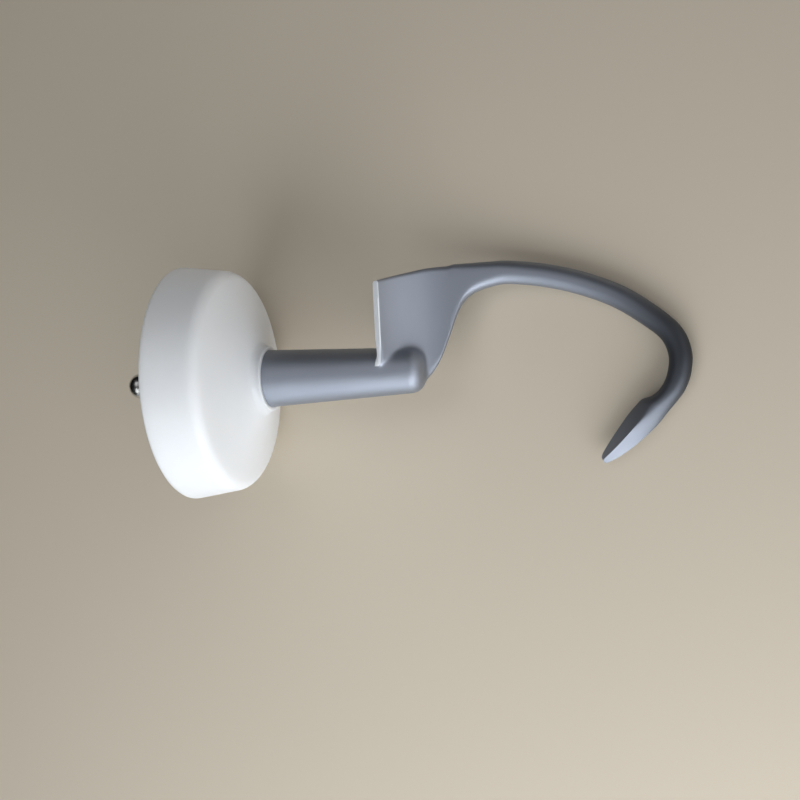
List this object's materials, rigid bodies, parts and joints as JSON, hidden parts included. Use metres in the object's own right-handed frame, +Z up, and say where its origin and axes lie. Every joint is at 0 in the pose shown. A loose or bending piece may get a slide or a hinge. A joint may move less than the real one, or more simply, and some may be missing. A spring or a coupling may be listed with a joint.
{
  "type": "stand mixer dough hook",
  "caption": "C-shaped dough hook with a curled web, a spear tip, a round splash guard and a domed drive spindle, lying on its side.",
  "frame": {"origin": "middle of the part's box in X and Y, on the surface that it lies on", "axes": "+Z up, +X level along the shank from the guard to the hook, +Y to the back of the C"},
  "size_m": [0.1691, 0.0718, 0.0709],
  "materials": {
    "hook_casting": "satin grey cast and coated",
    "guard_plastic": "satin white moulded",
    "spindle_steel": "polished turned steel",
    "pin_steel": "ground steel"
  },
  "bodies": {
    "root": {"hook": "hook_casting", "dough_guard": "guard_plastic", "drive_spindle": "spindle_steel", "drive_pin": "pin_steel"}
  },
  "joints": []
}
